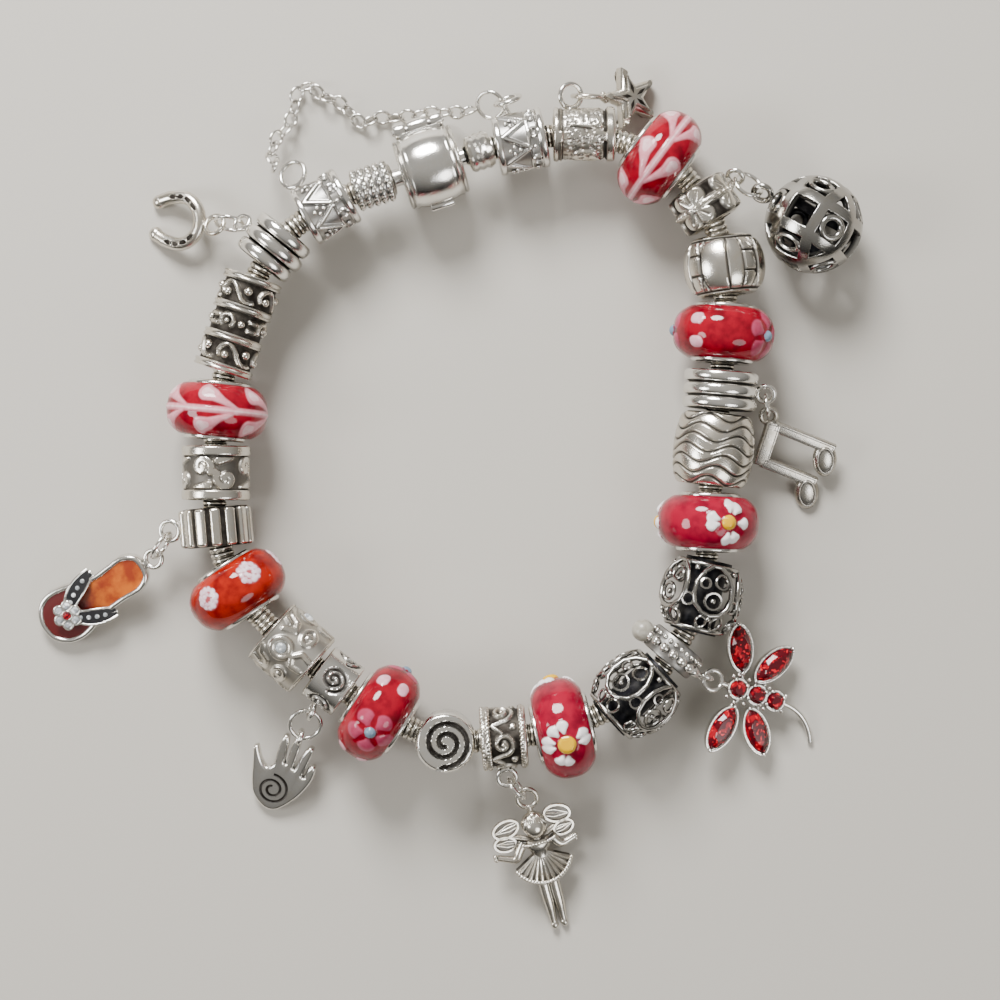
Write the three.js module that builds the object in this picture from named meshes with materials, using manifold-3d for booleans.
// Charm bracelet lying closed on a flat surface, in millimetres with +Z up.
// Every bead is strung on one round snake chain. Its axis runs level, at the height of the glass beads' axis.
// The origin is on the surface, under the middle of the whole bracelet.
import * as THREE from "three";
import { mergeVertices } from "three/addons/utils/BufferGeometryUtils.js";
import Module from "manifold-3d";

const wasm = await Module();
wasm.setup();

// Clearances
const partGap = 0.3;
const boreClearance = 0.7;
const linkPlay = 0.3;
const floorPlay = 0.05;

// Facets
const beadSides = 10;
const glassSides = 12;
const barrelSides = 14;
const ringSides = 10;
const wireSides = 5;
const rodSides = 5;
const stoneSides = 8;

// Snake chain
const chainRadius = 1.5;
const chainSides = 8;
const chainSteps = 62;

// Barrel clasp and end caps
const barrelRadius = 4.8;
const barrelLength = 6.25;
const barrelWall = 0.9;
const neckRadius = 1.1;
const neckLength = 1.6;
const capWall = 0.45;
const capRib = 0.2;
const leftCapLength = 5.4;
const rightCapLength = 3.2;
const socketDepth = 2.2;
const ballRadius = 1.8;
const knuckleRadius = 1;
const knuckleLength = 1.5;
const pinRadius = 0.4;
const hingeOffset = 0.6;
const thumbLip = 0.4;

// Glass beads and their silver cores
const glassRadius = 6.75;
const glassLength = 7.4;
const glassFlat = 1;
const flangeRadius = 3.9;
const flangeThickness = 0.55;
const coreWall = 0.6;

// Silver beads: lengths along the chain and outer radii
const safetyBead = { length: 6.3, radius: 3.8, rim: 0.35 };
const starBead = { length: 7.7, radius: 3.4, rim: 0.3 };
const bowBead = { length: 5.3, radius: 4.1, ribbon: 0.5 };
const ballBead = { length: 7.5, radius: 5.1, end: 3.4 };
const ringBail = { length: 5, radius: 4.7, groove: 0.7 };
const wavyBead = { length: 9, radius: 5.05, end: 3.7 };
const openBead = { length: 9.4, radius: 5.3, wall: 0.9, collar: 2.9 };
const pearlBail = { length: 3.2, radius: 4.3, pearl: 0.8, pearls: 8 };
const scrollBail = { length: 5.75, radius: 4, rim: 0.4 };
const spiralDisc = { length: 7.4, radius: 4.6, thickness: 6.6 };
const spiralBail = { length: 4.7, radius: 3.7, rim: 0.3 };
const reliefBead = { length: 7, radius: 4.5, rim: 0.35, stone: 1.1 };
const ribBead = { length: 4.9, radius: 4.65, groove: 0.7, ribs: 10 };
const scrollBead = { length: 6.8, radius: 4.3, rim: 0.5 };
const filigreeTube = { length: 12.4, radius: 3.8, ridge: 0.45 };
const threeRingBail = { length: 5.6, radius: 4.2, groove: 0.8 };

// Wire of the jump rings and of the eyelets that are soldered to beads and charms
const ringWire = 0.27;
const eyeletWire = 0.32;

// Safety chain: a fine cable chain, as a tube of the width of its links
const safetyChainRadius = 1.05;
const safetySteps = 18;

// Charms
const starCharm = { radius: 4.3, waist: 0.42, thickness: 1.3, bevel: 0.5, bail: 1.9, ray: 0.5 };
const openBall = { radius: 6.2, wall: 1 };
const note = { beam: 5.9, stem: 8.6, stemWidth: 0.9, beamWidth: 1.7, thickness: 1.2, head: 1.9 };
const dragonfly = { bodyStone: 1.15, wingLength: 6.4, wingWidth: 3, setting: 0.35, depth: 1.1, stone: 0.8 };
const fairy = { height: 18.4, head: 1.25, skirt: 3, thickness: 0.6 };
const hand = { length: 10.4, width: 5.2, finger: 1.15, thickness: 1.5 };
const sandal = { length: 17.4, toe: 3.7, heel: 2.6, thickness: 1.7, border: 0.6, strap: 0.45, flower: 0.62 };
const horseshoe = { outer: 3.8, inner: 2.1, thickness: 1.5, opening: 38 };

// Chosen points of the string seen from above, in millimetres, clockwise from the clasp
const stringRoute = [
  [-1.9, 41.6], [9.8, 44.5], [17.3, 45.6], [23.6, 44.9], [28.6, 41.6], [33.2, 36.4],
  [35.4, 28.5], [35, 20.4], [34.6, 13.2], [33.6, 5.8], [33.1, -3.4], [32.2, -12.8],
  [27.9, -18.8], [23.3, -24.3], [13.3, -27.6], [6.4, -28.3], [-0.75, -28.7], [-7.3, -25.1],
  [-12.7, -21.3], [-18, -17.1], [-25.1, -9.3], [-27, -2.9], [-26.9, 3.9], [-26.9, 12],
  [-24.3, 22.6], [-20.1, 31.6], [-13.6, 36.7],
];

// Chosen points of the safety chain between its two ends: plan in millimetres and height above the
// surface as a share of the way up to the eyelets
const safetyRoute = [
  { x: -21.3, y: 45.6, lift: 0.4 },
  { x: -19, y: 48, lift: 0.16 },
  { x: -18.2, y: 50, lift: 0.03 },
  { x: -18.3, y: 52, lift: 0 },
  { x: -16.6, y: 53.8, lift: 0 },
  { x: -14.3, y: 51.8, lift: 0 },
  { x: -12.2, y: 51.3, lift: 0 },
  { x: -9.9, y: 48.6, lift: 0 },
  { x: -7.3, y: 49.5, lift: 0 },
  { x: -4.7, y: 49.3, lift: 0 },
  { x: -2.4, y: 49.8, lift: 0.14 },
];

const weldDistance = 1e-4;
const boreRadius = chainRadius + boreClearance;
const axisHeight = glassRadius * Math.cos(Math.PI / glassSides);
const degrees = THREE.MathUtils.degToRad;

// Finishes
const silver = { color: 0xc9c7c2, roughness: 0.22, metalness: 1 };
const antique = { color: 0xa39d92, roughness: 0.34, metalness: 1 };
const gunmetal = { color: 0x4a4a4c, roughness: 0.35, metalness: 1 };
const redGlass = { color: 0xb01020, roughness: 0.08, metalness: 0 };
const amberGlass = { color: 0xc23a12, roughness: 0.08, metalness: 0 };

// A closed geometry as a solid: shared corners merged, empty faces dropped, faces turned outwards.
function solidOf(geometry) {
  const shape = geometry.index ? geometry.toNonIndexed() : geometry.clone();
  shape.deleteAttribute("normal");
  shape.deleteAttribute("uv");
  const merged = mergeVertices(shape, weldDistance);
  const triVerts = [];
  for (let i = 0; i < merged.index.count; i += 3) {
    const face = [0, 1, 2].map((corner) => merged.index.getX(i + corner));
    if (new Set(face).size === 3) triVerts.push(...face);
  }
  const vertProperties = merged.attributes.position.array;
  const make = (corners) =>
    new wasm.Manifold(new wasm.Mesh({ numProp: 3, vertProperties, triVerts: new Uint32Array(corners) }));
  const solid = make(triVerts);
  return solid.volume() < 0 ? make(triVerts.reverse()) : solid;
}

function geometryOf(solid) {
  const mesh = solid.getMesh();
  const geometry = new THREE.BufferGeometry();
  geometry.setAttribute("position", new THREE.BufferAttribute(mesh.vertProperties, mesh.numProp));
  geometry.setIndex(new THREE.BufferAttribute(mesh.triVerts, 1));
  geometry.computeVertexNormals();
  return geometry;
}

function fuse(shapes) {
  return geometryOf(shapes.map(solidOf).reduce((whole, next) => whole.add(next)));
}

function carve(shape, tools) {
  return geometryOf(tools.map(solidOf).reduce((whole, next) => whole.subtract(next), solidOf(shape)));
}

function shared(shape, region) {
  return geometryOf(solidOf(shape).intersect(solidOf(region)));
}

// Turns a profile of [along, radius] points about the X axis, with flat facets facing up and down.
function turned(profile, sides = beadSides) {
  const points = profile.map(([along, radius]) => new THREE.Vector2(radius, along));
  return new THREE.LatheGeometry(points, sides, Math.PI / sides).rotateZ(-Math.PI / 2);
}

// A turned piece with the chain's bore through it. The outline is given from one end face to the other.
function bored(outline, sides = beadSides) {
  const first = outline[0][0];
  const last = outline[outline.length - 1][0];
  return turned([[first, boreRadius], ...outline, [last, boreRadius], [first, boreRadius]], sides);
}

// A round bar from one point to another.
function rod(from, to, radius, sides = rodSides, endRadius = radius) {
  const way = new THREE.Vector3().subVectors(to, from);
  const bar = new THREE.CylinderGeometry(endRadius, radius, way.length(), sides);
  const turn = new THREE.Quaternion().setFromUnitVectors(new THREE.Vector3(0, 1, 0), way.normalize());
  return bar.applyQuaternion(turn).translate(...from.clone().add(to).multiplyScalar(0.5));
}

function ball(radius, [x, y, z], scale = [1, 1, 1], sides = 8) {
  return new THREE.SphereGeometry(radius, sides, Math.round(sides * 0.55)).rotateX(Math.PI / 2)
    .scale(...scale).translate(x, y, z);
}

// A flat plate of a drawn outline, centred on its own mid plane.
function plate(shape, thickness, bevel = 0, curveSegments = 6) {
  const depth = thickness - 2 * bevel;
  const options = {
    depth,
    curveSegments,
    bevelEnabled: bevel > 0,
    bevelThickness: bevel,
    bevelSize: bevel,
    bevelOffset: -bevel,
    bevelSegments: 1,
  };
  return new THREE.ExtrudeGeometry(shape, options).translate(0, 0, -depth / 2);
}

// A round tube along a curve. An arc of a drawn shape gets two divisions for each curve segment.
function tubeAlong(path, radius, steps, sides) {
  const section = new THREE.Shape().absarc(0, 0, radius, 0, 2 * Math.PI);
  const options = { steps, curveSegments: sides / 2, bevelEnabled: false, extrudePath: path };
  return new THREE.ExtrudeGeometry(section, options);
}

function point(x, y, z = 0) {
  return new THREE.Vector3(x, y, z);
}

function basis(origin, xAxis, yAxis) {
  const zAxis = new THREE.Vector3().crossVectors(xAxis, yAxis);
  return new THREE.Matrix4().makeBasis(xAxis, yAxis, zAxis).setPosition(origin);
}

const bracelet = new THREE.Group();

function addPiece(name, geometry, finish, matrix = new THREE.Matrix4()) {
  const mesh = new THREE.Mesh(geometry, new THREE.MeshStandardMaterial(finish));
  mesh.name = name;
  matrix.decompose(mesh.position, mesh.quaternion, mesh.scale);
  bracelet.add(mesh);
}

// Silver beads, each in its own frame with the bore along X and the outer side of the bracelet at +Y
function rimmedDrum({ length, radius, rim }, rimLength) {
  const end = length / 2;
  const low = radius - rim;
  return bored([
    [-end, radius], [-end + rimLength, radius], [-end + rimLength * 1.3, low],
    [end - rimLength * 1.3, low], [end - rimLength, radius], [end, radius],
  ]);
}

function roundedBead({ length, radius, end }) {
  const half = length / 2;
  return bored([[-half, end], [-half * 0.7, radius * 0.91], [-half * 0.25, radius],
    [half * 0.25, radius], [half * 0.7, radius * 0.91], [half, end]]);
}

// Rings stacked side by side, with a groove between each two.
function stackedRings({ length, radius, groove }, count) {
  const width = length / count;
  const outline = [[-length / 2, radius - groove]];
  for (let ring = 0; ring < count; ring++) {
    const start = -length / 2 + ring * width;
    outline.push([start + width * 0.28, radius], [start + width * 0.72, radius]);
    outline.push([start + width, radius - groove]);
  }
  return bored(outline);
}

function bowShape() {
  const { length, radius, ribbon } = bowBead;
  const body = bored([[-length / 2, radius - ribbon], [length / 2, radius - ribbon]]);
  const ribbonWidth = length * 0.24;
  const band = bored([[-ribbonWidth / 2, radius], [ribbonWidth / 2, radius]]);
  const bows = [-30, -150].map(degrees);
  const crossings = bows.map((angle) => {
    const strip = new THREE.BoxGeometry(length * 0.94, ribbonWidth, ribbon * 2);
    return strip.translate(0, 0, radius - ribbon).rotateX(angle);
  });
  const knots = bows.map((angle) => ball(0.9, [0, 0, radius - 0.1], [1.3, 1, 0.6], 6).rotateX(angle));
  return fuse([body, band, ...crossings, ...knots]);
}

function openBeadShape(turn) {
  const { length, radius, wall, collar } = openBead;
  const half = length / 2;
  const lip = 0.5;
  const arc = (size, from, to, steps) => [...Array(steps + 1).keys()].map((step) => {
    const angle = from + ((to - from) * step) / steps;
    return [-Math.cos(angle) * size, Math.sin(angle) * size];
  });
  const inner = radius - wall;
  const start = Math.asin(collar / radius);
  const innerStart = Math.asin(boreRadius / inner);
  const outline = [
    [-half, boreRadius], [-half, collar - lip], ...arc(radius, start, Math.PI - start, 5),
    [half, collar - lip], [half, boreRadius], ...arc(inner, Math.PI - innerStart, innerStart, 3),
    [-half, boreRadius],
  ];
  const shell = turned(outline);
  const piercings = [];
  const pierce = (lean, spin, size, sides) => {
    const tool = new THREE.CylinderGeometry(size, size * 0.7, radius, sides).translate(0, radius, 0);
    piercings.push(tool.rotateZ(lean).rotateX(spin + turn));
  };
  const spokes = 5;
  for (let spoke = 0; spoke < spokes; spoke++) {
    const spin = (spoke * 2 * Math.PI) / spokes;
    pierce(degrees(22), spin, 1.5, 4);
    pierce(degrees(-22), spin + Math.PI / spokes, 1.5, 4);
  }
  return carve(shell, piercings);
}

function pearlShape() {
  const { length, radius, pearl, pearls } = pearlBail;
  const half = length / 2;
  const edge = radius - 0.5;
  const band = bored([[-half, edge], [-half * 0.6, radius], [half * 0.6, radius], [half, edge]]);
  const granules = [...Array(pearls).keys()].map((index) =>
    ball(pearl, [half * 0.3, 0, radius], [1, 1, 1], 4).rotateX((index * 2 * Math.PI) / pearls));
  return fuse([band, ...granules]);
}

function discShape() {
  const { length, radius, thickness } = spiralDisc;
  const half = length / 2;
  const round = bored([[-half, radius * 0.62], [-half * 0.75, radius * 0.88], [-half * 0.3, radius],
    [half * 0.3, radius], [half * 0.75, radius * 0.88], [half, radius * 0.62]], barrelSides);
  return shared(round, new THREE.BoxGeometry(2 * length, 4 * radius, thickness));
}

function reliefShape() {
  const { radius, stone } = reliefBead;
  return fuse([rimmedDrum(reliefBead, 0.8), ball(stone, [0.4, 0, radius - reliefBead.rim], [1, 1, 0.7], 8)]);
}

function ribShape() {
  const { length, radius, groove, ribs } = ribBead;
  const body = bored([[-length / 2, radius - groove], [length / 2, radius - groove]], ribs);
  const ribWidth = (2 * Math.PI * radius * 0.62) / ribs;
  const rib = (index) => new THREE.BoxGeometry(length * 0.92, ribWidth, 2 * groove)
    .translate(0, 0, radius - groove).rotateX((index * 2 * Math.PI) / ribs);
  return fuse([body, ...[...Array(ribs).keys()].map(rib)]);
}

function filigreeShape() {
  const { length, radius, ridge } = filigreeTube;
  const bands = 3;
  const low = radius - ridge;
  const ridgeWidth = length * 0.075;
  const field = (length - (bands + 1) * ridgeWidth) / bands;
  const outline = [];
  for (let band = 0; band <= bands; band++) {
    const start = -length / 2 + band * (ridgeWidth + field);
    outline.push([start, low], [start + ridgeWidth * 0.3, radius], [start + ridgeWidth * 0.7, radius],
      [start + ridgeWidth, low]);
  }
  return bored(outline);
}

function glassShape() {
  const half = glassLength / 2 - flangeThickness - partGap;
  const hole = boreRadius + coreWall + partGap;
  const shoulder = glassRadius * 0.86;
  const outline = [
    [-half, flangeRadius], [-half * 0.78, shoulder], [-glassFlat, glassRadius],
    [glassFlat, glassRadius], [half * 0.78, shoulder], [half, flangeRadius],
  ];
  return turned([[-half, hole], ...outline, [half, hole], [-half, hole]], glassSides);
}

function coreShape() {
  const half = glassLength / 2;
  const inner = half - flangeThickness;
  const tube = boreRadius + coreWall;
  return bored([[-half, flangeRadius - 0.2], [-inner, flangeRadius], [-inner, tube],
    [inner, tube], [inner, flangeRadius], [half, flangeRadius - 0.2]]);
}

// The string, clockwise from the clasp. face is the radius of the end faces, and slack the least gap to
// the next piece.
const claspLength = leftCapLength + neckLength + barrelLength + neckLength + rightCapLength;
const capRadius = chainRadius + partGap + capWall;
const glass = { length: glassLength, face: flangeRadius };
const string = [
  { name: "clasp", length: claspLength, face: capRadius, slack: 0.15 },
  { name: "safety_bead_right", length: safetyBead.length, face: safetyBead.radius, slack: 0.3 },
  { name: "star_bead", length: starBead.length, face: starBead.radius, slack: 2.7 },
  { name: "glass_1", ...glass, slack: 1.7 },
  { name: "bow_bead", length: bowBead.length, face: bowBead.radius, slack: 1.5 },
  { name: "ball_bead", length: ballBead.length, face: ballBead.end, slack: 0.8 },
  { name: "glass_2", ...glass, slack: 0.9 },
  { name: "ring_bail", length: ringBail.length, face: ringBail.radius, slack: 0.35 },
  { name: "wavy_bead", length: wavyBead.length, face: wavyBead.end, slack: 0.9 },
  { name: "glass_3", ...glass, slack: 0.9 },
  { name: "openwork_bead_1", length: openBead.length, face: openBead.collar, slack: 0.9 },
  { name: "pearl_bail", length: pearlBail.length, face: pearlBail.radius, slack: 0.9 },
  { name: "openwork_bead_2", length: openBead.length, face: openBead.collar, slack: 1.6 },
  { name: "glass_4", ...glass, slack: 0.5 },
  { name: "scroll_bail", length: scrollBail.length, face: scrollBail.radius, slack: 0.5 },
  { name: "spiral_disc", length: spiralDisc.length, face: spiralDisc.radius * 0.62, slack: 0.45 },
  { name: "glass_5", ...glass, slack: 0.9 },
  { name: "spiral_bail", length: spiralBail.length, face: spiralBail.radius, slack: 0.8 },
  { name: "relief_bead", length: reliefBead.length, face: reliefBead.radius, slack: 2.8 },
  { name: "glass_6", ...glass, slack: 0.3 },
  { name: "rib_bead", length: ribBead.length, face: ribBead.radius, slack: 0.9 },
  { name: "scroll_bead", length: scrollBead.length, face: scrollBead.radius, slack: 0.7 },
  { name: "glass_7", ...glass, slack: 0.6 },
  { name: "filigree_tube", length: filigreeTube.length, face: filigreeTube.radius, slack: 0.8 },
  { name: "three_ring_bail", length: threeRingBail.length, face: threeRingBail.radius, slack: 2.4 },
  { name: "safety_bead_left", length: safetyBead.length, face: safetyBead.radius, slack: 0.15 },
];

// Seats each piece of the string on the route. The route is scaled to the string's whole length, and a gap
// opens where two end faces lean towards each other.
function strung(pieces) {
  const route = new THREE.CatmullRomCurve3(stringRoute.map(([x, y]) => point(x, y)), true, "centripetal");
  route.arcLengthDivisions = 3000;
  const gaps = pieces.map(({ slack }) => slack);
  let frames = [];
  for (let pass = 0; pass < 8; pass++) {
    const total = pieces.reduce((sum, { length }, index) => sum + length + gaps[index], 0);
    const scale = total / route.getLength();
    const pointAt = (way) => route.getPointAt((((way / total) % 1) + 1) % 1).multiplyScalar(scale);
    let middle = 0;
    frames = pieces.map(({ length }, index) => {
      if (index > 0) middle += pieces[index - 1].length / 2 + gaps[index - 1] + length / 2;
      const start = pointAt(middle - length / 2);
      const end = pointAt(middle + length / 2);
      const centre = start.clone().add(end).multiplyScalar(0.5);
      if (index > 0) centre.lerp(pointAt(middle), 0.5);
      return { centre, along: end.sub(start).normalize() };
    });
    frames.forEach(({ along }, index) => {
      const next = (index + 1) % pieces.length;
      const lean = Math.tan(along.angleTo(frames[next].along) / 2);
      const reach = Math.min(pieces[index].face, pieces[next].face);
      gaps[index] = Math.max(pieces[index].slack, partGap * 1.2 + 2 * reach * lean);
    });
  }
  return Object.fromEntries(frames.map(({ centre, along }, index) => {
    const side = new THREE.Vector3().crossVectors(point(0, 0, 1), along);
    return [pieces[index].name, basis(centre.setZ(axisHeight), along, side)];
  }));
}

const seats = strung(string);

function chainShape() {
  const clasp = string[0].length / 2;
  const inside = socketDepth - partGap;
  const at = (name, along) => point(along, 0).applyMatrix4(seats[name]);
  const way = [at("clasp", clasp - inside), at("clasp", clasp)];
  for (const { name, length } of string.slice(1)) {
    way.push(at(name, -length / 2), at(name, 0), at(name, length / 2));
  }
  way.push(at("clasp", -clasp), at("clasp", inside - clasp));
  const path = new THREE.CatmullRomCurve3(way, false, "centripetal");
  path.arcLengthDivisions = 3000;
  return tubeAlong(path, chainRadius, chainSteps, chainSides);
}

// Barrel clasp. Its hinge lies along the barrel at the seam, on the outer side of the bracelet.
const barrelMiddle = -claspLength / 2 + leftCapLength + neckLength + barrelLength / 2;
const hingeSide = barrelRadius + hingeOffset;
const neckHole = neckRadius + partGap;

function endCap(mouth, inward, length) {
  const end = mouth + inward * length;
  const ribs = [0.3, 0.8].flatMap((share) => [
    [mouth + inward * length * (share - 0.12), capRadius + capRib],
    [mouth + inward * length * (share + 0.12), capRadius + capRib],
    [mouth + inward * length * Math.min(share + 0.2, 1), capRadius],
  ]);
  const socket = mouth + inward * socketDepth;
  const mouthFace = chainRadius + partGap;
  return [[socket, 0], [socket, mouthFace], [mouth, mouthFace], [mouth, capRadius], ...ribs.slice(0, -1),
    [end, capRadius], [end, neckRadius]];
}

function leftCapShape() {
  const centre = barrelMiddle - barrelLength / 2 + barrelWall + partGap + ballRadius;
  const start = Math.asin(neckRadius / ballRadius);
  const steps = 4;
  const arc = [...Array(steps + 1).keys()].map((step) => {
    const angle = start + ((Math.PI - start) * step) / steps;
    return [centre - Math.cos(angle) * ballRadius, step === steps ? 0 : Math.sin(angle) * ballRadius];
  });
  return turned([...endCap(-claspLength / 2, 1, leftCapLength), ...arc]);
}

function barrelTube(radius, from, to) {
  return turned([[from, 0], [from, radius], [to, radius], [to, 0]], barrelSides);
}

function hingeBar(radius, from, to) {
  return turned([[from, 0], [from, radius], [to, radius], [to, 0]], 8).translate(0, hingeSide, 0);
}

const barrelStart = barrelMiddle - barrelLength / 2;
const barrelEnd = barrelMiddle + barrelLength / 2;
const knuckles = [[barrelStart, barrelStart + knuckleLength], [barrelEnd - knuckleLength, barrelEnd]];
const lidKnuckle = [knuckles[0][1] + partGap, knuckles[1][0] - partGap];

// One half of the barrel's shell: side is -1 for the lower half and 1 for the upper one.
function barrelHalf(side) {
  const shell = carve(barrelTube(barrelRadius, barrelStart, barrelEnd), [
    barrelTube(barrelRadius - barrelWall, barrelStart + barrelWall, barrelEnd - barrelWall),
    barrelTube(neckHole, barrelStart - 1, barrelStart + barrelWall + 1),
  ]);
  const tall = 2 * barrelRadius;
  const region = new THREE.BoxGeometry(2 * barrelLength, 4 * barrelRadius, tall)
    .translate(barrelMiddle, 0, side * (tall / 2 + partGap / 2));
  return shared(shell, region);
}

function claspBaseShape() {
  const clearing = hingeBar(knuckleRadius + partGap, knuckles[0][1], knuckles[1][0]);
  const lower = carve(barrelHalf(-1), [clearing]);
  const neckStart = barrelEnd - barrelWall;
  const neck = [[neckStart, neckRadius], [neckStart, 0]];
  const cap = turned([...endCap(claspLength / 2, -1, rightCapLength), ...neck]);
  const pin = hingeBar(pinRadius, barrelStart + 0.2, barrelEnd - 0.2);
  return fuse([lower, cap, ...knuckles.map(([from, to]) => hingeBar(knuckleRadius, from, to)), pin]);
}

function claspLidShape() {
  const neckSlot = barrelTube(neckHole, barrelEnd - barrelWall - 1, barrelEnd + 1);
  const reach = knuckleRadius + partGap;
  const clearings = [
    hingeBar(reach, barrelStart - 1, lidKnuckle[0]),
    hingeBar(reach, lidKnuckle[1], barrelEnd + 1),
  ];
  const upper = carve(barrelHalf(1), [neckSlot, ...clearings]);
  const knuckle = hingeBar(knuckleRadius, ...lidKnuckle);
  const lip = new THREE.BoxGeometry(barrelLength * 0.5, 2 * thumbLip, thumbLip)
    .translate(barrelMiddle, -barrelRadius, thumbLip / 2 + partGap / 2);
  const bore = hingeBar(pinRadius + partGap, lidKnuckle[0] - 1, lidKnuckle[1] + 1);
  return carve(fuse([upper, knuckle, lip]), [bore]);
}

// Rings linked in one straight line, each square to the one before, from an eyelet on a bead down to a charm.
// slope is the angle of the line below level, roll turns all the rings about it.
function linkedRings(start, heading, slope, roll, rings) {
  const level = point(Math.cos(heading), Math.sin(heading));
  const along = level.multiplyScalar(Math.cos(slope)).setZ(-Math.sin(slope));
  const side = point(-Math.sin(heading), Math.cos(heading));
  const over = new THREE.Vector3().crossVectors(along, side);
  const centre = start.clone();
  return rings.map(({ radius, wire }, index) => {
    if (index > 0) {
      const before = rings[index - 1];
      centre.addScaledVector(along, before.radius + radius - before.wire - wire - linkPlay);
    }
    const angle = roll + (index * Math.PI) / 2;
    const across = side.clone().multiplyScalar(Math.cos(angle)).addScaledVector(over, Math.sin(angle));
    const upright = basis(centre.clone(), along, side);
    return { frame: basis(centre.clone(), along, across), upright, radius, wire };
  });
}

function ringShape({ radius, wire }, matrix = new THREE.Matrix4()) {
  return new THREE.TorusGeometry(radius, wire, wireSides, ringSides).applyMatrix4(matrix);
}

// The point on the middle of a ring's wire that is nearest to a place.
function nearestOnRing({ radius }, frame, place) {
  const local = place.clone().applyMatrix4(frame.clone().invert()).setZ(0);
  return local.setLength(radius).applyMatrix4(frame);
}

// A ring soldered on by a short post that ends at anchor. All in the frame of what carries it.
function solderedRing(ring, frame, anchor, postRadius) {
  return [ringShape(ring, frame), rod(nearestOnRing(ring, frame, anchor), anchor, postRadius)];
}

// Charms, each drawn with its ring's centre at the origin and its body along +X
const charmPost = 0.5;

function starShape() {
  const { radius, waist, thickness, bevel, bail, ray } = starCharm;
  const outline = (size, narrow) => {
    const corners = [...Array(10).keys()].map((index) => {
      const reach = index % 2 ? size * narrow : size;
      const angle = Math.PI + (index * Math.PI) / 5;
      return new THREE.Vector2(Math.cos(angle) * reach, Math.sin(angle) * reach);
    });
    return new THREE.Shape(corners);
  };
  const centre = bail + eyeletWire + radius * 0.86;
  const body = plate(outline(radius, waist), thickness + 2 * bevel, bevel);
  const raised = thickness / 2 + bevel + ray / 2 - 0.05;
  const rays = plate(outline(radius * 0.72, 0.3), ray).translate(0, 0, raised);
  const placed = [body, rays].map((shape) => shape.translate(centre, 0, 0));
  return { body: placed, anchor: point(centre - radius * 0.6, 0) };
}

function openBallShape(ring) {
  const { radius, wall } = openBall;
  const centre = ring.radius + radius + 0.25;
  const shell = carve(ball(radius, [0, 0, 0], [1, 1, 1], 10), [ball(radius - wall, [0, 0, 0], [1, 1, 1], 8)]);
  const tools = [];
  const pierce = (x, y, z, size, sides, spin = 0) => {
    const tool = new THREE.CylinderGeometry(size, size * 0.75, radius, sides);
    const turn = new THREE.Quaternion().setFromUnitVectors(point(0, 1, 0), point(x, y, z).normalize());
    tools.push(tool.rotateY(spin).translate(0, radius, 0).applyQuaternion(turn));
  };
  pierce(0, 0, 1, 2.4, 4, 0.3);
  pierce(0, 0, -1, 2.4, 4, 0.3);
  pierce(0, 1, 0.05, 2.2, 4, 0.6);
  pierce(0, -1, 0.05, 2.2, 4, 0.6);
  pierce(1, 0, 0.1, 2.2, 6);
  for (const y of [-1, 1]) {
    for (const z of [-0.9, 0.9]) pierce(1, y, z, 1.5, y * z > 0 ? 6 : 3);
  }
  return { body: [carve(shell, tools).translate(centre, 0, 0)], anchor: point(centre - radius * 0.93, 0) };
}

function noteShape() {
  const { beam, stem, stemWidth, beamWidth, thickness, head } = note;
  const beamAngle = degrees(-25);
  const stemAngle = degrees(57);
  const beamStart = point(0.9, 0.6);
  const beamWay = point(Math.cos(beamAngle), Math.sin(beamAngle));
  const stemWay = point(Math.cos(stemAngle), Math.sin(stemAngle));
  const bar = (start, way, length, width) => new THREE.BoxGeometry(length, width, thickness)
    .translate(length / 2, 0, 0).rotateZ(Math.atan2(way.y, way.x)).translate(start.x, start.y, 0);
  const body = [bar(beamStart, beamWay, beam, beamWidth)];
  for (const share of [0, 1]) {
    const root = beamStart.clone().addScaledVector(beamWay, stemWidth / 2 + share * (beam - stemWidth));
    const length = stem - share * 0.9;
    body.push(bar(root, stemWay, length, stemWidth));
    const tip = root.addScaledVector(stemWay, length - head * 0.5).addScaledVector(beamWay, head * 0.75);
    body.push(ball(head, [0, 0, 0], [1, 0.72, 0.5], 8).rotateZ(beamAngle + 0.35).translate(tip.x, tip.y, 0));
  }
  return { body, anchor: beamStart };
}

// A faceted stone with a table, in its setting.
function stoneInSetting(halfLength, halfWidth, [x, y], angle) {
  const { setting, depth, stone } = dragonfly;
  const rim = new THREE.CylinderGeometry(1, 1, depth, stoneSides).scale(halfLength, 1, halfWidth);
  const gem = new THREE.CylinderGeometry(0.6, 1, stone, stoneSides)
    .scale(halfLength - setting, 1, halfWidth - setting).translate(0, depth / 2 + stone / 2 - 0.1, 0);
  return [rim, gem].map((shape) => shape.rotateX(Math.PI / 2).rotateZ(angle).translate(x, y, 0));
}

function dragonflyShape() {
  const { bodyStone, wingLength, wingWidth, depth } = dragonfly;
  const wings = [
    { x: 1.95, y: 4.9, angle: 115 }, { x: 7, y: 4.3, angle: 58 },
    { x: 3.1, y: -5.4, angle: -102 }, { x: 7.7, y: -4.4, angle: -52 },
  ];
  const body = [3.4, 6.1, 8.7].flatMap((x) => stoneInSetting(bodyStone, bodyStone, [x, 0], 0));
  body.push(rod(point(2.4, 0), point(9.5, 0), depth * 0.42));
  for (const { x, y, angle } of wings) {
    body.push(...stoneInSetting(wingLength / 2, wingWidth / 2, [x, y], degrees(angle)));
    const root = point(x < 5 ? 4.4 : 6.8, 0);
    body.push(rod(root, point(x, y).lerp(root, 0.25), depth * 0.36));
  }
  const tail = new THREE.QuadraticBezierCurve3(point(9.2, 0), point(13.6, 0.3), point(15.4, -3.6));
  body.push(tubeAlong(tail, depth * 0.36, 6, 6));
  return { body, anchor: point(2.6, 0) };
}

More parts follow.
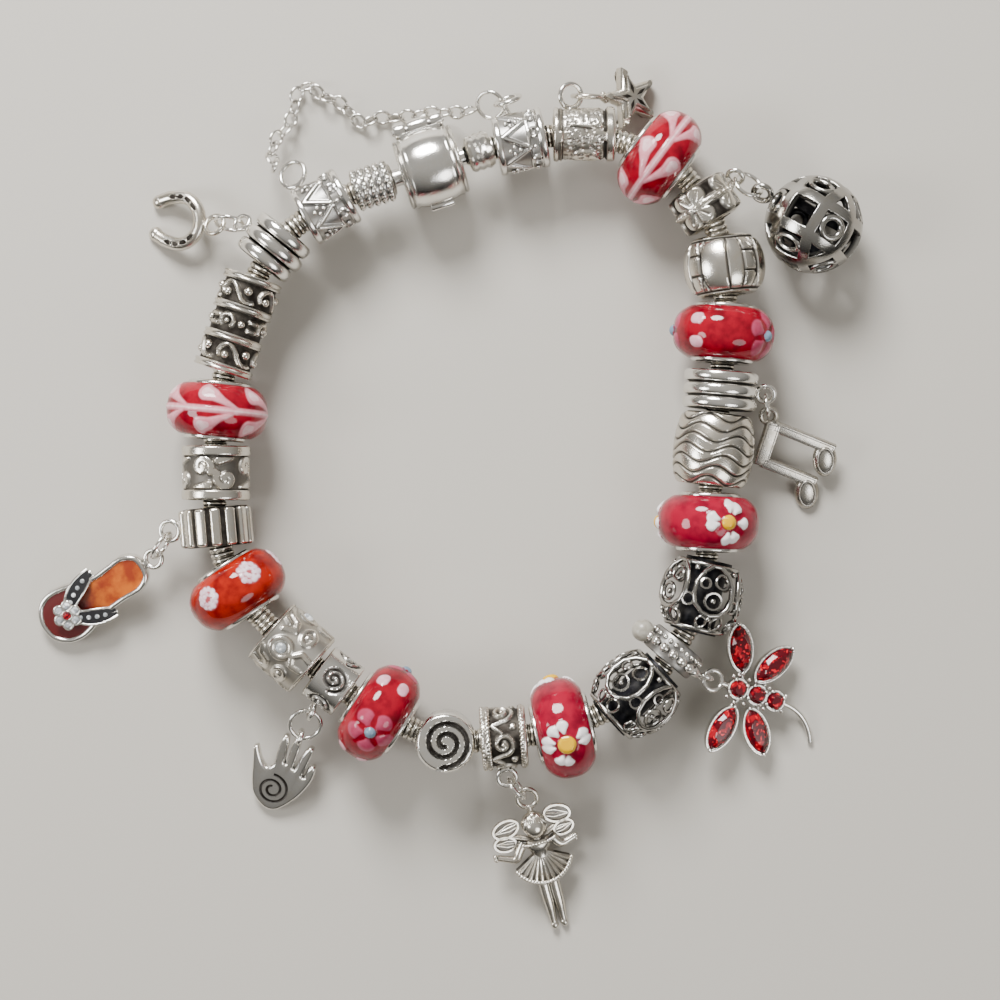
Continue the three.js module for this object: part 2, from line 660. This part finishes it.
function fairyShape() {
  const { height, head, skirt, thickness } = fairy;
  const at = (share) => height * share;
  const turnedFlat = (profile, flat) => turned(profile, 8).scale(1, 1, flat);
  const torso = turnedFlat([[at(0.32), 0], [at(0.34), 1.2], [at(0.47), 0.8], [at(0.5), 0]], 0.8);
  const hem = [[at(0.71), skirt], [at(0.7), 0]];
  const dress = turnedFlat([[at(0.45), 0], [at(0.46), 0.95], [at(0.6), skirt * 0.8], ...hem], 0.5);
  const neck = rod(point(at(0.28), 0), point(at(0.36), 0), 0.45);
  const body = [ball(head, [at(0.26), 0, 0.1]), torso, dress, neck];
  const wings = [{ reach: 5.6, width: 1.6, angle: 118 }, { reach: 4.2, width: 1.3, angle: 75 }];
  for (const side of [-1, 1]) {
    body.push(rod(point(at(0.37), side * 0.6, 0.1), point(at(0.31), side * 3.3, 0.2), 0.55, rodSides, 0.42));
    body.push(rod(point(at(0.66), side * 0.75), point(at(0.99), side * 0.7), 0.62, rodSides, 0.45));
    for (const { reach, width, angle } of wings) {
      const leaf = new THREE.Shape().absellipse(reach / 2, 0, reach / 2, width, 0, 2 * Math.PI);
      const wing = plate(leaf, thickness, 0, 5).rotateZ(side * degrees(angle));
      body.push(wing.translate(at(0.37), side * 0.4, -0.5));
    }
  }
  return { body, anchor: point(at(0.24), 0) };
}

// A flat finger with a round tip, from its root at the origin along +X.
function finger(length, width, thickness) {
  const outline = new THREE.Shape();
  outline.moveTo(0, -width / 2);
  outline.absarc(length - width / 2, 0, width / 2, -Math.PI / 2, Math.PI / 2);
  outline.lineTo(0, width / 2);
  return plate(outline, thickness, 0, 3);
}

function handShape() {
  const { length, width, finger: fingerWidth, thickness } = hand;
  const palmStart = length * 0.5;
  const palm = new THREE.Shape();
  palm.moveTo(palmStart, -width / 2);
  palm.lineTo(length * 0.82, -width / 2);
  palm.quadraticCurveTo(length, -width * 0.42, length, 0);
  palm.quadraticCurveTo(length, width * 0.42, length * 0.82, width / 2);
  palm.lineTo(palmStart, width / 2);
  const body = [plate(palm, thickness, 0, 3)];
  [0.78, 0.92, 1, 0.86].forEach((share, index) => {
    const reach = length * 0.46 * share;
    const spread = (index - 1.5) * (width / 4.15);
    const lean = degrees(180 - (index - 1.5) * 5);
    const shape = finger(reach, fingerWidth, thickness * 0.85).rotateZ(lean);
    body.push(shape.translate(palmStart + 0.4, spread, 0));
  });
  const thumb = finger(length * 0.42, fingerWidth * 1.15, thickness * 0.85).rotateZ(degrees(-145));
  body.push(thumb.translate(length * 0.82, -width * 0.3, 0));
  return { body, anchor: point(palmStart - length * 0.38, 0) };
}

function soleOutline(inset) {
  const { length, toe, heel } = sandal;
  const start = 1.4 + inset;
  const end = start - 2 * inset + length - 1.4;
  const outline = new THREE.Shape();
  const heelSide = heel - inset;
  const toeSide = toe - inset;
  outline.moveTo(start, 0);
  outline.bezierCurveTo(start, -heelSide, start + 1.4, -heelSide, start + 3, -heelSide);
  outline.bezierCurveTo(start + 6, -heelSide, start + 6.5, -toeSide, end - 4.4, -toeSide);
  outline.bezierCurveTo(end - 1.2, -toeSide, end, -toeSide * 0.6, end, 0);
  outline.bezierCurveTo(end, toeSide * 0.6, end - 1.2, toeSide, end - 4.4, toeSide);
  outline.bezierCurveTo(start + 6.5, toeSide, start + 6, heelSide, start + 3, heelSide);
  outline.bezierCurveTo(start + 1.4, heelSide, start, heelSide, start, 0);
  return outline;
}

function sandalShape() {
  const { length, toe, thickness, border, strap, flower } = sandal;
  const pocketDepth = 0.5;
  const pocket = plate(soleOutline(border), thickness, 0, 2).translate(0, 0, thickness - pocketDepth);
  const sole = carve(plate(soleOutline(0), thickness, 0, 2), [pocket]);
  const top = thickness / 2;
  const post = point(length * 0.76, 0, top + 0.5);
  const body = [sole, rod(point(post.x, 0, 0), point(post.x, 0, top + 0.8), strap)];
  for (const side of [-1, 1]) {
    const knee = point(length * 0.6, side * toe * 0.5, top + 0.55);
    const foot = point(length * 0.45, side * (toe - border * 1.4), top * 0.4);
    body.push(rod(post, knee, strap), rod(knee, foot, strap));
  }
  for (let petal = 0; petal < 6; petal++) {
    const angle = (petal * Math.PI) / 3;
    const place = [post.x + Math.cos(angle) * 1.8 * flower, Math.sin(angle) * 1.8 * flower, top + 0.2];
    body.push(ball(flower * 1.25, place, [1, 1, 1], 5));
  }
  body.push(ball(flower * 1.1, [post.x, 0, top + 0.55], [1, 1, 1], 5));
  return { body, anchor: point(1.9, 0) };
}

function horseshoeShape(ring) {
  const { outer, inner, thickness, opening } = horseshoe;
  const gap = degrees(opening);
  const centre = ring.radius + outer + 0.35;
  const outline = new THREE.Shape();
  outline.absarc(centre, 0, outer, gap, 2 * Math.PI - gap);
  outline.absarc(centre, 0, inner, 2 * Math.PI - gap * 0.75, gap * 0.75, true);
  return { body: [plate(outline, thickness, 0.3, 4)], anchor: point(centre - outer * 0.85, 0) };
}

// The lines of rings that hang from the string. along and below place the eyelet's centre, along the bead and
// as an angle below level on its outer side. heading is the line's direction seen from above, and turn is the
// charm's own turn from it.
const jump = (radius) => ({ radius, wire: ringWire });
const eyelet = (radius) => ({ radius, wire: eyeletWire });
const hangings = [
  {
    host: "star_bead", along: -1.6, below: 4, surface: starBead.radius, heading: 2, roll: 8, turn: 0,
    rings: [eyelet(1.5), eyelet(starCharm.bail)], charm: "star_charm", shape: starShape, finish: antique,
  },
  {
    host: "bow_bead", along: -0.9, below: 0, surface: bowBead.radius, heading: -31, roll: 45, turn: 0,
    rings: [eyelet(0.95), jump(1.85), eyelet(1.1)], link: "pendant_ring",
    charm: "openwork_pendant", shape: openBallShape, finish: silver,
  },
  {
    host: "ring_bail", along: 0, below: 5, surface: ringBail.radius, heading: -80, roll: 10, turn: 0,
    rings: [eyelet(1.05), jump(1.35), eyelet(0.95)], link: "note_ring",
    charm: "music_note", shape: noteShape, finish: silver,
  },
  {
    host: "pearl_bail", along: 0, below: 12, surface: pearlBail.radius, heading: -19, roll: 80, turn: 0,
    rings: [eyelet(1), eyelet(1.25)], charm: "dragonfly", shape: dragonflyShape, finish: silver,
  },
  {
    host: "scroll_bail", along: 0, below: 8, surface: scrollBail.radius, heading: -47, roll: 12, turn: -28,
    rings: [eyelet(1.15), jump(1.6), eyelet(1.25)], link: "fairy_ring",
    charm: "fairy", shape: fairyShape, finish: silver,
  },
  {
    host: "spiral_bail", along: 0, below: 10, surface: spiralBail.radius, heading: -115, roll: 75, turn: -5,
    rings: [eyelet(1.05), jump(1.95), eyelet(0.85)], link: "hand_ring",
    charm: "hand_charm", shape: handShape, finish: antique,
  },
  {
    host: "rib_bead", along: 0, below: 6, surface: ribBead.radius, heading: -122, roll: 10, turn: -25,
    rings: [eyelet(1.25), jump(1.85), eyelet(1.1)], link: "sandal_ring",
    charm: "sandal", shape: sandalShape, finish: silver,
  },
  {
    host: "three_ring_bail", along: 0, below: 8, surface: threeRingBail.radius, heading: 182, roll: 25,
    turn: -10, rings: [eyelet(1), jump(1.75), eyelet(1.3)], link: "horseshoe_ring",
    charm: "horseshoe", shape: horseshoeShape, finish: antique,
  },
];

// The centre of an eyelet on the outer side of a bead, in the bracelet's frame.
function eyeletCentre({ host, along, below, surface, rings }) {
  const reach = surface + rings[0].radius;
  const angle = degrees(below);
  return point(along, reach * Math.cos(angle), -reach * Math.sin(angle)).applyMatrix4(seats[host]);
}

function lowestCorner(geometry, matrix) {
  const corners = geometry.attributes.position;
  let lowest = Infinity;
  for (let index = 0; index < corners.count; index++) {
    lowest = Math.min(lowest, new THREE.Vector3().fromBufferAttribute(corners, index).applyMatrix4(matrix).z);
  }
  return lowest;
}

const eyeletsOf = {};

// Solders an eyelet to its host: kept in the host's own frame until the host is made.
function addEyelet(host, ring, frame, surface, along) {
  const toHost = seats[host].clone().invert();
  const local = toHost.clone().multiply(frame);
  const centre = point(0, 0).applyMatrix4(local);
  const depth = (surface + boreRadius) / 2;
  const outward = point(0, centre.y, centre.z).setLength(depth);
  eyeletsOf[host] = solderedRing(ring, local, outward.setX(along), ring.wire * 1.1);
}

// Hangs a charm: the slope of its rings is the one at which its lowest corner just touches the surface.
function hang(spec) {
  const { host, heading, roll, turn, rings, link, charm, shape, finish, surface, along } = spec;
  const start = eyeletCentre(spec);
  const last = rings[rings.length - 1];
  const { body, anchor } = shape(last);
  const line = (slope) => linkedRings(start, degrees(heading), slope, degrees(roll), rings);
  const turning = new THREE.Matrix4().makeRotationZ(degrees(turn));
  const charmFrame = (placed) => placed[placed.length - 1].upright.clone().multiply(turning);
  const main = fuse(body);
  let shallow = degrees(-40);
  let steep = degrees(75);
  for (let step = 0; step < 40; step++) {
    const middle = (shallow + steep) / 2;
    if (lowestCorner(main, charmFrame(line(middle))) > 0) shallow = middle;
    else steep = middle;
  }
  const placed = line(shallow);
  const frame = charmFrame(placed);
  const ringFrame = frame.clone().invert().multiply(placed[placed.length - 1].frame);
  addEyelet(host, rings[0], placed[0].frame, surface, along);
  if (link) addPiece(link, ringShape(rings[1]), silver, placed[1].frame);
  addPiece(charm, fuse([main, ...solderedRing(last, ringFrame, anchor, charmPost)]), finish, frame);
}

hangings.forEach(hang);

// Safety chain: its left end is held by the left bead's eyelet, and its right end by a jump ring that hangs
// in the right bead's eyelet.
const safetyEnds = {
  left: {
    host: "safety_bead_left", along: -1.6, below: 0, surface: safetyBead.radius, heading: 150, roll: 0,
    slope: 30, rings: [{ radius: 1.7, wire: eyeletWire }],
  },
  right: {
    host: "safety_bead_right", along: -0.6, below: 0, surface: safetyBead.radius, heading: 192, roll: 70,
    slope: 24, rings: [{ radius: 1.6, wire: eyeletWire }, jump(1.7)],
  },
};

function safetyLine(end) {
  const [heading, slope, roll] = [end.heading, end.slope, end.roll].map(degrees);
  const placed = linkedRings(eyeletCentre(end), heading, slope, roll, end.rings);
  addEyelet(end.host, end.rings[0], placed[0].frame, end.surface, end.along);
  return placed;
}

// The end of the chain's tube, just clear of the ring that its last link passes through, and a second point
// that leads it straight away from there.
function besideRing({ frame, radius, wire }) {
  const start = radius + wire + partGap;
  return [start, start + safetyChainRadius].map((along) => point(along, 0).applyMatrix4(frame));
}

function addSafetyChain() {
  const left = safetyLine(safetyEnds.left);
  const right = safetyLine(safetyEnds.right);
  addPiece("safety_ring", ringShape(right[1]), silver, right[1].frame);
  const way = besideRing(left[0]);
  for (const { x, y, lift } of safetyRoute) {
    const lying = safetyChainRadius + floorPlay;
    way.push(point(x, y, lying + lift * (axisHeight - lying)));
  }
  way.push(...besideRing(right[1]).reverse());
  const path = new THREE.CatmullRomCurve3(way, false, "centripetal");
  addPiece("safety_chain", tubeAlong(path, safetyChainRadius, safetySteps, chainSides), silver);
}

addSafetyChain();

// The string's pieces, each joined with the eyelet that it carries
function addStrung(name, shape, finish) {
  const eyeletShapes = eyeletsOf[name] ?? [];
  addPiece(name, eyeletShapes.length ? fuse([shape, ...eyeletShapes]) : shape, finish, seats[name]);
}

addPiece("snake_chain", chainShape(), antique);
addPiece("clasp_base", claspBaseShape(), silver, seats.clasp);
addPiece("clasp_lid", claspLidShape(), silver, seats.clasp);
addPiece("end_cap_left", leftCapShape(), silver, seats.clasp);
for (let index = 1; index <= 7; index++) {
  addPiece(`glass_bead_${index}`, glassShape(), index === 6 ? amberGlass : redGlass, seats[`glass_${index}`]);
  addPiece(`glass_core_${index}`, coreShape(), silver, seats[`glass_${index}`]);
}
addStrung("safety_bead_right", rimmedDrum(safetyBead, 0.8), silver);
addStrung("safety_bead_left", rimmedDrum(safetyBead, 0.8), silver);
addStrung("star_bead", rimmedDrum(starBead, 1.2), antique);
addStrung("bow_bead", bowShape(), antique);
addStrung("ball_bead", roundedBead(ballBead), silver);
addStrung("ring_bail", stackedRings(ringBail, 3), silver);
addStrung("wavy_bead", roundedBead(wavyBead), antique);
addStrung("openwork_bead_1", openBeadShape(0), gunmetal);
addStrung("pearl_bail", pearlShape(), silver);
addStrung("openwork_bead_2", openBeadShape(0.4), gunmetal);
addStrung("scroll_bail", rimmedDrum(scrollBail, 1), antique);
addStrung("spiral_disc", discShape(), silver);
addStrung("spiral_bail", rimmedDrum(spiralBail, 0.7), silver);
addStrung("relief_bead", reliefShape(), antique);
addStrung("rib_bead", ribShape(), silver);
addStrung("scroll_bead", rimmedDrum(scrollBead, 1.3), antique);
addStrung("filigree_tube", filigreeShape(), antique);
addStrung("three_ring_bail", stackedRings(threeRingBail, 3), silver);

// The origin goes under the middle of the whole bracelet, on the surface.
const extent = new THREE.Box3().setFromObject(bracelet, true);
const middle = extent.getCenter(point(0, 0));
bracelet.children.forEach((piece) => piece.position.sub(point(middle.x, middle.y, extent.min.z)));

export default bracelet;
